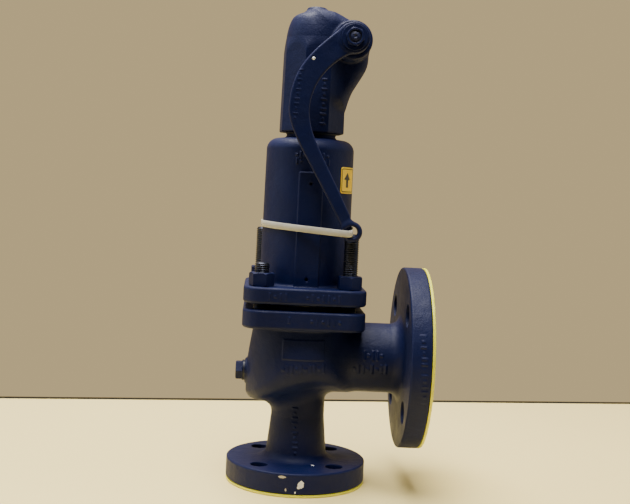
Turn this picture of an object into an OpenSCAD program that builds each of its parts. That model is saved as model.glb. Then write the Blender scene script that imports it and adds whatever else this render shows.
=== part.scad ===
// Angle-pattern safety valve with a closed bonnet and a gas-tight lifting lever.
// Millimetres. The origin is the centre of the inlet raised face, +Z runs up the
// spindle and +X points out of the outlet.

/* [Inlet flange] */
// Outside diameter of the inlet flange
inlet_flange_d = 115; // [110:1:120]
// Thickness of the inlet flange behind its raised face
inlet_flange_t = 16.6; // [14:0.1:18]
// Diameter of the inlet raised face
inlet_face_d = 68; // [64:1:70]
// Bolt circle of the inlet flange
inlet_pcd = 85; // [83:0.5:87]
// Bolt hole diameter of the inlet flange
inlet_hole_d = 14; // [13:0.5:15]
// Bore of the inlet
inlet_bore_d = 25; // [23.5:0.5:26]

/* [Outlet flange] */
// Outside diameter of the outlet flange
outlet_flange_d = 150; // [145:1:155]
// Thickness of the outlet flange behind its raised face
outlet_flange_t = 16.6; // [14:0.1:18]
// Diameter of the outlet raised face
outlet_face_d = 88; // [84:1:90]
// Bolt circle of the outlet flange
outlet_pcd = 110; // [108:0.5:112]
// Bolt hole diameter of the outlet flange
outlet_hole_d = 18; // [16:0.5:19]
// Bore of the outlet
outlet_bore_d = 40; // [38:0.5:42]
// Height of the outlet's centre above the inlet face
outlet_height = 105; // [104:0.5:106]
// Distance from the spindle's axis to the outlet face
outlet_reach = 100; // [99:0.5:102]
// Height of both raised faces
raised_face = 1.4; // [1:0.1:2]

/* [Bonnet joint] */
// Half the width of the two square flanges
joint_half = 49; // [48:0.5:51]
// Corner radius of the two square flanges
joint_corner = 15; // [13:0.5:16]
// Offset of each stud from the spindle's axis, in X and in Y
stud_offset = 35; // [34.5:0.25:35.5]
// Stud thread diameter
stud_d = 12; // [11:0.5:12]
// Top of the two long studs
long_stud_top = 206.5; // [190:0.5:206.5]
// Top of the two short studs
short_stud_top = 181; // [176:0.5:186]
// Width of the stud nuts across their flats
nut_flats = 18; // [17:0.5:19]

/* [Bonnet] */
// Outside radius of the bonnet at its foot
bonnet_foot_r = 36.5; // [36:0.1:37]
// Outside radius of the bonnet under its shoulder
bonnet_top_r = 35.7; // [35:0.1:36]
// Inside radius of the bonnet
bonnet_bore_r = 29.5; // [28:0.5:30]

/* [Cap and lever] */
// Width of the cap across its eight flats
cap_flats = 50; // [49:0.5:51]
// Turn of the cap's flats about the spindle
cap_turn = 4.5; // [0:0.5:10]
// Distance from the spindle's axis to the lever's shaft
shaft_x = 28; // [27:0.5:29]
// Height of the lever's shaft
shaft_z = 359; // [358:0.5:360]
// Diameter of the lever's shaft
shaft_d = 10; // [9:0.5:10.5]
// Thickness of the lever's arm
lever_t = 6; // [5:0.5:6.5]

/* [Fits] */
// Radial clearance of a shaft that turns or slides in a bore
running = 0.05; // [0.02:0.01:0.08]
// Radial clearance of a thread drawn as a plain cylinder
thread_gap = 0.03; // [0.02:0.01:0.08]

/* [Hidden] */

$fn = 96;
eps = 0.5;

// Colours of the real pieces
navy = [0.07, 0.09, 0.2];
steel = [0.62, 0.63, 0.65];
dark_steel = [0.16, 0.16, 0.18];
stainless = [0.74, 0.75, 0.77];
graphite = [0.14, 0.14, 0.15];
yellow = [0.93, 0.83, 0.2];
ivory = [0.88, 0.86, 0.78];

// Heights along the spindle
body_joint_bottom = 129.3;
body_joint_top = 144.4;
register_top = 147.4;
bonnet_joint_bottom = 149.3;
bonnet_joint_top = 162.4;
shoulder_z = 272;
cap_seat_z = 284.6;
cap_bottom_z = 286;
spigot_top_z = 297;
seat_z = 72;
lower_plate_z = 167;
spring_bottom_z = 174;
spring_top_z = 254;
upper_plate_top_z = 262;
screw_top_z = 318;
nut_underside_z = 356;
spindle_top_z = 367;

// Radii shared by mating pieces
spindle_r = 6;
stud_r = stud_d / 2;
shaft_r = shaft_d / 2;
register_r = 42.4;
guide_r = 37.5;
seat_r = 11.5;
nozzle_r = 15;
pocket_r = 19.5;
disc_r = 14;
screw_r = 10;
spigot_r = 17.5;
gland_r = 8;
plug_r = 5;
cover_t = 0.8;

// Places of the drain plug, the shaft's boss and the lever
plug_z = 88.7;
plug_face_x = -45.4;
boss_r = 15.5;
boss_front_y = -36;
boss_back_y = 20;
pocket_half = 20;
pocket_x = 42.6;
fork_room = 14;
lever_back_y = -43;
lever_front_y = lever_back_y - lever_t;
hub_r = 12.2;
eye_x = 33.6;
eye_z = 208.7;
eye_r = 8.2;
eye_hole_r = 4.4;
rivet_x = -2.9;
rivet_z = 341.4;
rivet_r = 1.5;
pin_r = 1.5;

// Nylon tie: band width, band thickness and the radius of its run round the bonnet
tie_w = 5.3;
tie_t = 1.2;
tie_r = 36.95;

function bezier(a, b, c, d, n) =
    [for (i = [0 : n]) let (t = i / n, s = 1 - t)
        s * s * s * a + 3 * s * s * t * b + 3 * s * t * t * c + t * t * t * d];

// Points of an arc about (x, y), from angle a0 to a1
function arc(x, y, r, a0, a1, n) =
    [for (i = [0 : n]) let (a = a0 + (a1 - a0) * i / n) [x + r * cos(a), y + r * sin(a)]];

// Outside radius of the bonnet's tapering wall at height z
function bonnet_r(z) =
    bonnet_foot_r
        + (bonnet_top_r - bonnet_foot_r) * (z - bonnet_joint_top) / (shoulder_z - bonnet_joint_top);

// A ring about Z
module ring(outer_r, inner_r, z0, z1) {
    translate([0, 0, z0]) difference() {
        cylinder(r = outer_r, h = z1 - z0);
        translate([0, 0, -eps]) cylinder(r = inner_r, h = z1 - z0 + 2 * eps);
    }
}

// A disc or rod about Z
module rod(r, z0, z1) {
    translate([0, 0, z0]) cylinder(r = r, h = z1 - z0);
}

// A rod along Y at (x, z)
module rod_y(r, x, z, y0, y1) {
    translate([x, y1, z]) rotate([90, 0, 0]) cylinder(r = r, h = y1 - y0);
}

// A rod along X at height z
module rod_x(r, z, x0, x1) {
    translate([x0, 0, z]) rotate([0, 90, 0]) cylinder(r = r, h = x1 - x0);
}

// A six-sided prism about Z
module hexagon(flats, z0, z1) {
    translate([0, 0, z0]) cylinder(r = flats / 2 / cos(30), h = z1 - z0, $fn = 6);
}

// A flat rounded square
module rounded_square(half, corner) {
    straight = 2 * (half - corner);
    square([2 * half, straight], center = true);
    square([straight, 2 * half], center = true);
    for (x = [-1, 1])
        for (y = [-1, 1])
            translate([x, y] * (half - corner)) circle(r = corner);
}

// Children repeated at four points on a bolt circle, between the two axes
module on_bolt_circle(pcd) {
    for (a = [45 : 90 : 315])
        rotate([0, 0, a]) translate([pcd / 2, 0, 0]) children();
}

// Children repeated at all four studs
module at_studs() {
    for (x = [-1, 1])
        for (y = [-1, 1])
            translate([x * stud_offset, y * stud_offset, 0]) children();
}

// Outline of the inlet neck, flaring into its flange and widening under the bowl
neck_outline = concat(
    [[0, raised_face + eps], [30.5, raised_face + eps], [30.5, 18]],
    arc(31.5, 25.5, 7.5, 270, 180, 6),
    [[22.7, 45], [22, 54]],
    bezier([22, 54], [22.2, 62], [24, 66], [27, 70], 6),
    [[27, 76], [0, 76]]
);

// Outline of the bowl's wall, from its rounded chin up to the bonnet joint
bowl_outline = concat(
    [[0, 62], [38, 65.6]],
    arc(39.5, 70.7, 4.5, 260, 350, 6),
    [[44, 80.3], [44, 98.7], [42, 109.6], [40.2, 124.7], [40.2, body_joint_bottom + eps],
     [0, body_joint_bottom + eps]]
);

// Hollow of the bowl, open at the top
chamber_outline = [
    [0, 62], [35, 70], [37.5, 78], [37.5, 98.7], [35.5, 110], [34, 124.7], [34, 139.4],
    [guide_r, 139.4], [guide_r, register_top + eps], [0, register_top + eps]
];

// The bowl's underside is round from front to back and rises towards the outlet
under_z = 112;
under_r = 45;
under_tilt = 5;
bowl_wall = 6.5;

// Children of the bowl trimmed to its underside, inset from the outside
module above_underside(inset) {
    intersection() {
        children();
        union() {
            translate([0, 0, under_z]) rotate([0, -under_tilt, 0]) translate([-60, 0, 0])
                rotate([0, 90, 0]) cylinder(r = under_r - inset, h = 120);
            translate([-60, -60, under_z]) cube([120, 120, 40]);
        }
    }
}

module body() {
    color(navy) difference() {
        union() {
            rod(inlet_face_d / 2, 0, raised_face + eps);
            rod(inlet_flange_d / 2, raised_face, raised_face + inlet_flange_t);
            rotate_extrude() polygon(neck_outline);
            above_underside(0) rotate_extrude() polygon(bowl_outline);
            translate([0, 0, body_joint_bottom])
                linear_extrude(body_joint_top - body_joint_bottom)
                    rounded_square(joint_half, joint_corner);
            rod(register_r, body_joint_top - eps, register_top);
            // Outlet branch, its flare and its flange
            rod_x(28.6, outlet_height - 1.4, 0, outlet_reach - raised_face - 5);
            translate([outlet_reach - raised_face - outlet_flange_t - 9, 0, outlet_height])
                rotate([0, 90, 0]) cylinder(r1 = 28.6, r2 = 33, h = 9.5);
            rod_x(outlet_flange_d / 2, outlet_height,
                  outlet_reach - raised_face - outlet_flange_t, outlet_reach - raised_face);
            rod_x(outlet_face_d / 2, outlet_height, outlet_reach - raised_face - eps, outlet_reach);
            // Low pad that follows the front of the bowl
            intersection() {
                translate([0, 0, outlet_height]) cylinder(r1 = 43.7, r2 = 41.6, h = 16);
                translate([-16, -50, outlet_height]) cube([33.5, 20, 16]);
            }
            // Boss of the drain
            rod_x(10, plug_z, plug_face_x, -36);
        }
        above_underside(bowl_wall) rotate_extrude() polygon(chamber_outline);
        // Inlet bore and the pocket of the nozzle
        rod(inlet_bore_d / 2, -eps, 40);
        rod(16, 36, 63);
        rod(pocket_r, 62, 95);
        rod_x(outlet_bore_d / 2, outlet_height, 20, outlet_reach + eps);
        rod_x(plug_r + thread_gap, plug_z, plug_face_x - eps, -30);
        on_bolt_circle(inlet_pcd) rod(inlet_hole_d / 2, -eps, 20);
        translate([0, 0, outlet_height]) rotate([0, 90, 0]) on_bolt_circle(outlet_pcd)
            rod(outlet_hole_d / 2, outlet_reach - 22, outlet_reach);
        at_studs() rod(stud_r + thread_gap, 130.6, body_joint_top + eps);
    }
}

module seat_ring() {
    color(stainless) difference() {
        union() {
            rod(16 - thread_gap, 40.05, 62.5);
            rod(19, 62, 65);
            rod(nozzle_r, 64.5, seat_z - 0.6);
            ring(disc_r, seat_r, seat_z - 1, seat_z);
        }
        rod(seat_r, 39, seat_z + eps);
    }
}

module drain_plug() {
    color(dark_steel) union() {
        translate([-46.9, 0, plug_z]) rotate([0, -90, 0]) hexagon(14, 0.1, 6.1);
        rod_x(8.5, plug_z, -47.4, -46.9);
        rod_x(plug_r, plug_z, -46.95, -34);
    }
}

module drain_gasket() {
    color(stainless) translate([-46.9, 0, plug_z]) rotate([0, 90, 0])
        ring(8.5, plug_r + thread_gap, 0, 1.5);
}

module guide_plate() {
    color(stainless) difference() {
        union() {
            rod(guide_r - 0.1, 139.4, register_top);
            rod(11, 116, 140);
        }
        rod(spindle_r + running, 115, register_top + eps);
        // Balance holes that vent the bonnet
        for (a = [0 : 60 : 300])
            rotate([0, 0, a]) translate([23, 0, 0]) rod(3.5, 138, register_top + eps);
    }
}

module bonnet_gasket() {
    color(graphite) ring(register_r - 0.4, 32, register_top, bonnet_joint_bottom);
}

module bonnet() {
    wall = [
        [0, bonnet_joint_top - eps], [bonnet_r(bonnet_joint_top - eps), bonnet_joint_top - eps],
        [bonnet_top_r, shoulder_z]
    ];
    shoulder = arc(bonnet_top_r - 8, shoulder_z, 8, 0, 75, 8);
    neck = [[22, 281.6], [20, 282.5], [20, cap_seat_z], [0, cap_seat_z]];
    color(navy) difference() {
        union() {
            translate([0, 0, bonnet_joint_bottom])
                linear_extrude(bonnet_joint_top - bonnet_joint_bottom)
                    rounded_square(joint_half, joint_corner);
            rotate_extrude() polygon(concat(wall, shoulder, neck));
            rod(spigot_r, cap_seat_z - eps, spigot_top_z);
            // Pad for a nameplate
            translate([-9.2, -37.2, bonnet_joint_top - eps]) cube([19, 12, 91.6]);
        }
        rod(bonnet_bore_r, bonnet_joint_bottom - eps, 262);
        translate([0, 0, 262]) cylinder(r1 = bonnet_bore_r, r2 = 24, h = 4);
        rod(screw_r + running, 260, spigot_top_z + eps);
        at_studs() rod(stud_r + 0.5, bonnet_joint_bottom - eps, bonnet_joint_top + eps);
        // Holes for the nameplate's two rivets
        for (z = [168.8, 244.7])
            rod_y(1.25, 0.3, z, -40, -33);
    }
}

module stud(top) {
    rod(stud_r, 131, top - 1.2);
    translate([0, 0, top - 1.2]) cylinder(r1 = stud_r, r2 = stud_r - 1.2, h = 1.2);
}

module long_studs() {
    color(dark_steel)
        for (s = [-1, 1])
            translate([s * stud_offset, -s * stud_offset, 0]) stud(long_stud_top);
}

module short_studs() {
    color(dark_steel)
        for (s = [-1, 1])
            translate([s * stud_offset, s * stud_offset, 0]) stud(short_stud_top);
}

module stud_nuts() {
    color(dark_steel) at_studs() difference() {
        hexagon(nut_flats, bonnet_joint_top, bonnet_joint_top + 10.8);
        rod(stud_r + thread_gap, bonnet_joint_top - eps, bonnet_joint_top + 12);
    }
}

module cap_gasket() {
    color(graphite) ring(20.4, spigot_r + 0.1, cap_seat_z, cap_bottom_z);
}

// Side outline of the pocket that houses the shaft, in X and Z. It ends inside the
// shaft's boss, which rounds it off.
pocket_outline = concat(
    [[0, 309], [25, 309]],
    bezier([25, 309], [28, 315], [35, 327], [39, 334], 4),
    bezier([39, 334], [42.5, 340], [pocket_x, 344], [pocket_x, 350], 5),
    [[pocket_x, shaft_z], [shaft_x + 11, shaft_z + 9], [shaft_x, shaft_z + 14.5], [14, 379], [0, 379]]
);

module cap() {
    dome = concat(
        [[0, cap_bottom_z], [28, cap_bottom_z], [28, 344.5]],
        bezier([28, 344.5], [27, 350], [25, 357], [23.9, 362], 4),
        bezier([23.9, 362], [23.2, 368.5], [21.6, 375.5], [18.8, 379], 5),
        bezier([18.8, 379], [16.5, 381.5], [13.5, 382.3], [9.7, 383.6], 4),
        [[7.6, 385], [7.4, 388], [0, 388]]
    );
    color(navy) difference() {
        union() {
            intersection() {
                rotate([0, 0, cap_turn + 22.5]) rod_octagon(cap_flats, cap_bottom_z, 390);
                rotate_extrude() polygon(dome);
            }
            translate([0, pocket_half, 0]) rotate([90, 0, 0])
                linear_extrude(2 * pocket_half) polygon(pocket_outline);
            rod_y(boss_r, shaft_x, shaft_z, boss_front_y, boss_back_y + 4);
        }
        rod(spigot_r + thread_gap, cap_bottom_z - eps, spigot_top_z + 1);
        rod(19.5, spigot_top_z + 0.5, 367);
        translate([0, 0, 367]) cylinder(r1 = 19.5, r2 = 10, h = 9);
        // Hollow for the fork and its hub
        translate([0, -fork_room, shaft_z - 14]) cube([shaft_x, 2 * fork_room, 24]);
        rod_y(11.5, shaft_x, shaft_z, -fork_room, fork_room);
        // Bearing of the shaft at both ends and the seat of the gland
        rod_y(shaft_r + running, shaft_x, shaft_z, boss_front_y - eps, boss_back_y);
        rod_y(gland_r + thread_gap, shaft_x, shaft_z, boss_front_y - eps, -22);
    }
}

// An eight-sided prism about Z
module rod_octagon(flats, z0, z1) {
    translate([0, 0, z0]) cylinder(r = flats / 2 / cos(22.5), h = z1 - z0, $fn = 8);
}

module gland_bush() {
    color(dark_steel) difference() {
        union() {
            rod_y(gland_r, shaft_x, shaft_z, -36.5, -27);
            rod_y(10.6, shaft_x, shaft_z, -39.5, boss_front_y);
        }
        rod_y(shaft_r + running, shaft_x, shaft_z, -40, -26);
    }
}

module gland_seal() {
    color(graphite) difference() {
        rod_y(gland_r, shaft_x, shaft_z, -27, -22);
        rod_y(shaft_r + running, shaft_x, shaft_z, -28, -21);
    }
}

module sticker() {
    low = 238.4;
    high = 259.5;
    film = 0.25;
    color(yellow) rotate([0, 0, -47.5]) rotate_extrude(angle = 34)
        polygon([
            [bonnet_r(low), low], [bonnet_r(low) + film, low],
            [bonnet_r(high) + film, high], [bonnet_r(high), high]
        ]);
}

// Yellow blank over a flange: a skin across the face and a thicker ring around it
module flange_cover(r, face_r, pcd, hole_r) {
    difference() {
        union() {
            rod(r, -cover_t, 0);
            ring(r, face_r + 0.5, -eps, raised_face);
        }
        on_bolt_circle(pcd) rod(hole_r, -cover_t - eps, raised_face + eps);
    }
}

module inlet_cover() {
    color(yellow)
        flange_cover(inlet_flange_d / 2 - 0.2, inlet_face_d / 2, inlet_pcd, inlet_hole_d / 2);
}

module outlet_cover() {
    color(yellow) translate([outlet_reach, 0, outlet_height]) rotate([0, -90, 0])
        flange_cover(outlet_flange_d / 2 - 0.4, outlet_face_d / 2, outlet_pcd, outlet_hole_d / 2);
}

// Route of the tie's centre line seen from above. It runs round the back of the
// bonnet, over the nameplate pad, through the lever's eye from the front, over the
// long stud and back to the bonnet.
tie_back = [for (p = arc(0, 0, tie_r, -4, 238, 44)) [p.x, p.y]];
tie_front = [[-9.8, -38.2], [0, -41.4], [10, -44.9], [18, -47.8], [23.5, -49.7], [30, -50.2]];
tie_eye = [[32.2, -50.5], [33.2, -49.8], [33.6, -48.4], [33.7, -46], [33.8, -43.5], [34, -41]];
tie_side = [[34.9, -30], [36, -16]];
tie_plan = concat(tie_back, tie_front, tie_eye, tie_side);

// Height of the tie's centre line at a point seen from above
function tie_z(p) =
    p.x < 0 && p.y < 0 ? tie_front_z(p.x)
    : p.y > -36 ? (p.x > 33 ? 210.6 : 211.2)
    : p.x < 31 ? tie_front_z(p.x)
    : 207.2 + 2.9 * min(1, max(0, (p.y + 51) / 8));

// The tie falls slightly across the front
function tie_front_z(x) = 208.9 - 0.06 * x;

module tie() {
    count = len(tie_plan);
    rings = [for (i = [0 : count - 1])
        let (p = tie_plan[i],
             along = tie_plan[(i + 1) % count] - tie_plan[(i + count - 1) % count],
             side = [along.y, -along.x] / norm(along) * tie_t / 2)
        for (c = [[1, -1], [1, 1], [-1, 1], [-1, -1]])
            [p.x + c[0] * side.x, p.y + c[0] * side.y, tie_z(p) + c[1] * tie_w / 2]];
    faces = [for (i = [0 : count - 1])
        let (j = (i + 1) % count)
        for (k = [0 : 3])
            let (m = (k + 1) % 4)
            for (f = [[4 * i + k, 4 * i + m, 4 * j + m], [4 * i + k, 4 * j + m, 4 * j + k]]) f];
    color(ivory) polyhedron(points = rings, faces = faces);
}

// Rise of the spring's wire after t turns, in pitches. The first and last turn start
// nearly flat, because the ends of the spring are closed.
spring_turns = 8;
end_slope = 0.3;
function end_rise(t) = end_slope * t + (1 - end_slope) / 2 * t * t;
spring_rise = spring_turns - 2 + 2 * end_rise(1);
function coil_rise(t) =
    t < 1 ? end_rise(t)
    : t > spring_turns - 1 ? spring_rise - end_rise(spring_turns - t)
    : end_rise(1) + t - 1;

module spring() {
    wire_r = 3;
    coil_r = 21;
    steps = 24;
    sides = 8;
    low = spring_bottom_z + wire_r + running;
    high = spring_top_z - wire_r - running;
    count = spring_turns * steps;
    points = [for (i = [0 : count])
        let (a = 360 * i / steps, z = low + (high - low) * coil_rise(i / steps) / spring_rise)
        for (k = [0 : sides - 1])
            let (b = 360 * k / sides, r = coil_r + wire_r * cos(b))
            [r * cos(a), r * sin(a), z + wire_r * sin(b)]];
    walls = [for (i = [0 : count - 1])
        for (k = [0 : sides - 1])
            let (m = (k + 1) % sides, u = i * sides, v = u + sides)
            for (f = [[u + k, v + k, v + m], [u + k, v + m, u + m]]) f];
    ends = [[for (k = [0 : sides - 1]) k],
            [for (k = [sides - 1 : -1 : 0]) count * sides + k]];
    color(steel) polyhedron(points = points, faces = concat(walls, ends));
}

// A spring plate with a hub that centres the spring
module plate(z0, z1, hub0, hub1) {
    difference() {
        union() {
            rod(25, z0, z1);
            rod(16, hub0, hub1);
        }
        rod(spindle_r + running, min(z0, hub0) - eps, max(z1, hub1) + eps);
    }
}

module upper_spring_plate() {
    color(stainless) plate(spring_top_z, upper_plate_top_z, spring_top_z - 5, spring_top_z + eps);
}

module lower_spring_plate() {
    color(stainless) difference() {
        plate(lower_plate_z, spring_bottom_z, spring_bottom_z - eps, spring_bottom_z + 5);
        rod(9.05, lower_plate_z - eps, lower_plate_z + 2.5);
    }
}

module adjusting_screw() {
    color(stainless) difference() {
        union() {
            rod(screw_r, upper_plate_top_z + 0.05, screw_top_z - 9);
            hexagon(17, screw_top_z - 9.5, screw_top_z);
        }
        rod(spindle_r + 0.5, upper_plate_top_z - eps, screw_top_z + eps);
    }
}

module lock_nut() {
    color(dark_steel) difference() {
        hexagon(30, spigot_top_z, spigot_top_z + 8);
        rod(screw_r + running, spigot_top_z - eps, spigot_top_z + 9);
    }
}

module spindle() {
    color(stainless) difference() {
        union() {
            rod(spindle_r, 84, spindle_top_z);
            translate([0, 0, 84]) sphere(r = spindle_r);
        }
        // Groove for the split ring and cross hole for the lifting pin
        ring(spindle_r + 1, spindle_r - 1, lower_plate_z - 2, lower_plate_z + 2);
        rod_y(pin_r, 0, nut_underside_z + 4, -8, 8);
    }
}

module split_ring() {
    color(steel) difference() {
        ring(9, spindle_r - 1, lower_plate_z - 2, lower_plate_z + 2);
        translate([-0.3, -10, lower_plate_z - 3]) cube([0.6, 20, 6]);
    }
}

module disc() {
    color(stainless) union() {
        rod(disc_r, seat_z, seat_z + 4);
        rod(5, seat_z + 3.5, 78);
    }
}

// Snap ring that keeps the disc in its holder
module disc_retainer() {
    color(steel) ring(disc_r + 1.4, disc_r + 0.05, seat_z + 1.2, seat_z + 2.4);
}

module disc_holder() {
    skirt = [
        [0, seat_z + 4], [disc_r + 0.05, seat_z + 4], [disc_r + 0.05, seat_z + 2.4],
        [disc_r + 1.4, seat_z + 2.4], [disc_r + 1.4, seat_z + 1.2], [16.6, seat_z + 1.2],
        [18, seat_z - 0.6], [18.8, seat_z], [17.6, seat_z + 7], [12, 84], [10, 92], [10, 100], [0, 100]
    ];
    color(stainless) difference() {
        rotate_extrude() polygon(skirt);
        rod(5, seat_z + 3, 78);
        translate([0, 0, 84]) sphere(r = spindle_r);
        rod(spindle_r, 84, 101);
    }
}

module lifting_nut() {
    color(stainless) difference() {
        rod(11.5, nut_underside_z, nut_underside_z + 8);
        rod(spindle_r, nut_underside_z - eps, nut_underside_z + 9);
        rod_y(pin_r, 0, nut_underside_z + 4, -13, 13);
    }
}

module lifting_pin() {
    color(steel) rod_y(pin_r, 0, nut_underside_z + 4, -12.2, 12.2);
}

// Outline of the lever's arm, in X and Z, from the hub down to the eye
arm_outline = concat(
    bezier([20.5, 368.6], [1, 351.5], [-19, 338], [-20.2, 306], 12),
    bezier([-20.2, 306], [-21, 286], [-6, 269], [26, 211.5], 12),
    [[eye_x, eye_z + 6], [31.2, 221.5]],
    bezier([31.2, 221.5], [7, 270], [-5, 284], [-4, 304], 12),
    bezier([-4, 304], [-3, 326], [14, 341.5], [26.5, 346.8], 12),
    [[shaft_x, shaft_z]]
);

module lever() {
    color(navy) difference() {
        union() {
            translate([0, lever_back_y, 0]) rotate([90, 0, 0])
                linear_extrude(lever_t) polygon(arm_outline);
            rod_y(hub_r, shaft_x, shaft_z, lever_front_y - 0.5, lever_back_y + 2.5);
            rod_y(eye_r, eye_x, eye_z, lever_front_y, lever_back_y);
        }
        rod_y(shaft_r, shaft_x, shaft_z, lever_front_y - 1, lever_back_y + 3);
        rod_y(eye_hole_r, eye_x, eye_z, lever_front_y - 1, lever_back_y + 1);
        rod_y(rivet_r, rivet_x, rivet_z, lever_front_y - 1, lever_back_y + 1);
    }
}

module lever_shaft() {
    color(steel) difference() {
        rod_y(shaft_r, shaft_x, shaft_z, lever_front_y - 6, boss_back_y - 0.5);
        // Cross hole for the fork's pin and groove for the clip
        translate([shaft_x, 0, shaft_z - 8]) rod(pin_r, 0, 16);
        translate([shaft_x, 0, shaft_z]) rotate([90, 0, 0]) ring(6, 4.2, -12, -10.8);
    }
}

module lever_washer() {
    color(dark_steel) difference() {
        rod_y(10.3, shaft_x, shaft_z, lever_front_y - 2, lever_front_y - 0.5);
        rod_y(shaft_r, shaft_x, shaft_z, lever_front_y - 3, lever_front_y);
    }
}

module lever_nut() {
    color(dark_steel) difference() {
        translate([shaft_x, lever_front_y - 2, shaft_z]) rotate([90, 0, 0]) hexagon(13, 0, 5);
        rod_y(shaft_r, shaft_x, shaft_z, lever_front_y - 8, lever_front_y);
    }
}

module lever_rivet() {
    color(steel) rod_y(rivet_r, rivet_x, rivet_z, lever_front_y - 0.3, lever_back_y);
}

module fork() {
    prong_in = 6.8;
    prong_w = 4;
    tip_r = 3;
    tip_z = nut_underside_z - tip_r - 0.3;
    // The prong's top stays level under the lifting nut
    prong = [
        [shaft_x, shaft_z - 6], [0, tip_z - tip_r], [0, tip_z + tip_r], [10.4, tip_z + tip_r],
        [shaft_x, shaft_z + 5]
    ];
    color(stainless) difference() {
        union() {
            rod_y(8.5, shaft_x, shaft_z, -10.8, 10.8);
            for (s = [0, 1]) mirror([0, s, 0]) {
                translate([0, prong_in + prong_w, 0]) rotate([90, 0, 0])
                    linear_extrude(prong_w) polygon(prong);
                rod_y(tip_r, 0, tip_z, prong_in, prong_in + prong_w);
            }
        }
        rod_y(shaft_r, shaft_x, shaft_z, -11, 11);
        translate([shaft_x, 0, shaft_z - 9]) rod(pin_r, 0, 18);
    }
}

module fork_pin() {
    color(steel) translate([shaft_x, 0, shaft_z - 8]) rod(pin_r, 0, 16);
}

module shaft_clip() {
    color(steel) translate([shaft_x, 0, shaft_z]) rotate([90, 0, 0]) difference() {
        ring(7.5, 4.2, -12, -10.8);
        translate([-2, 0, -13]) cube([4, 9, 3]);
    }
}

body();
seat_ring();
drain_plug();
drain_gasket();
guide_plate();
bonnet_gasket();
bonnet();
long_studs();
short_studs();
stud_nuts();
cap_gasket();
cap();
gland_bush();
gland_seal();
sticker();
inlet_cover();
outlet_cover();
tie();
spring();
upper_spring_plate();
adjusting_screw();
lock_nut();
spindle();
disc();
disc_retainer();
disc_holder();
split_ring();
lower_spring_plate();
lifting_nut();
lifting_pin();
lever();
lever_shaft();
lever_washer();
lever_nut();
lever_rivet();
fork();
fork_pin();
shaft_clip();
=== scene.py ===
"""Looks of the flanged relief valve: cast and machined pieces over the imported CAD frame.

Lengths are millimetres inside the shape functions and metres in Blender. The cast pieces are
signed distance fields, meshed here and pulled onto their exact surface, so that every inside
corner has the round fillet of a casting.
"""

import math

import bmesh
import bpy
import numpy as np
from mathutils import Matrix, Vector


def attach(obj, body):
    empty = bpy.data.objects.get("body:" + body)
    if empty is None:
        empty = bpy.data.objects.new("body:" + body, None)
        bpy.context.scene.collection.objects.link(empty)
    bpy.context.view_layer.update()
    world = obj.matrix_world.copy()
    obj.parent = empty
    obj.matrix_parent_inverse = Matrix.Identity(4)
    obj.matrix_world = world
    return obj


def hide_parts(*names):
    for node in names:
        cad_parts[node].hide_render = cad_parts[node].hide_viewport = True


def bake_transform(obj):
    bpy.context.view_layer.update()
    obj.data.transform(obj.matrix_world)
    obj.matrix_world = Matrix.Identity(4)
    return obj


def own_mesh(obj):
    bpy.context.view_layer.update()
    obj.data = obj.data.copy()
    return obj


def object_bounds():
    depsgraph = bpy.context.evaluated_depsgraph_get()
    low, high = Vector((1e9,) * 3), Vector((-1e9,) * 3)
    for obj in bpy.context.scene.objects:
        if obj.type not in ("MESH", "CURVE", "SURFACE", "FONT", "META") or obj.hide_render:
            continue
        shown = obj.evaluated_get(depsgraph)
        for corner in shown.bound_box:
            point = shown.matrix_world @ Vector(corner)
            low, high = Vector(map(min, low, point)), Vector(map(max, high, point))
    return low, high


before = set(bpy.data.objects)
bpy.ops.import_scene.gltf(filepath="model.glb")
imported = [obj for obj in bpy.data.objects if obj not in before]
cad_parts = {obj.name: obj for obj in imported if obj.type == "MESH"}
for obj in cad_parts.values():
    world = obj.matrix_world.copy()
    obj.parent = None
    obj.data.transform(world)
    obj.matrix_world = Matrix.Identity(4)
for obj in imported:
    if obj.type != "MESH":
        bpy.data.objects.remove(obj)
cad_low, cad_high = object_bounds()
MM = 0.001

# Sizes of the design, in millimetres
INLET_BOLT_CIRCLE, INLET_HOLE_R = 85, 7
OUTLET_Z = 105.0
OUTLET_X = 100
OUTLET_BOLT_CIRCLE, OUTLET_HOLE_R = 110, 9
RAISED_FACE = 1.4
COVER_T = 0.8
BODY_JOINT = 129.3, 144.4
BONNET_JOINT = 149.3, 162.4
PLUG_Z = 88.7
SHAFT_X, SHAFT_Z = 28.0, 359.0
SHAFT_R = 5
RIVET_X, RIVET_Z, RIVET_R = -2.9, 341.4, 1.5
JOINT_HALF, JOINT_CORNER = 49.0, 15.0
STUD_OFFSET = 35.0
LEVER_BACK, LEVER_FRONT = -43.0, -49.0
EYE_X, EYE_Z = 33.6, 208.7
CAP_TURN = math.radians(4.5)


# ---------------------------------------------------------------- distance fields

def join(a, b, fillet=0.0):
    """Union of two fields with a round fillet in the corner between them."""
    if fillet <= 0:
        return np.minimum(a, b)
    u, v = np.maximum(fillet - a, 0), np.maximum(fillet - b, 0)
    return np.maximum(fillet, np.minimum(a, b)) - np.hypot(u, v)


def meet(a, b, edge=0.0):
    """Intersection of two fields with a round outer edge."""
    return -join(-a, -b, edge)


def cut(a, b, edge=0.0):
    """Field a with field b taken away, and a round edge on the rim of the cut."""
    return meet(a, -b, edge)


def slab(t, low, high):
    """Field of the space between two planes."""
    return np.abs(t - (low + high) / 2) - (high - low) / 2


def rod(p, axis, centre, radius, low, high, edge=0.0):
    """Field of a rod along axis 0, 1 or 2, centred at two coordinates in the other axes."""
    u, v = [i for i in range(3) if i != axis]
    radial = np.hypot(p[:, u] - centre[0], p[:, v] - centre[1]) - radius
    return meet(radial, slab(p[:, axis], low, high), edge)


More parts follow.
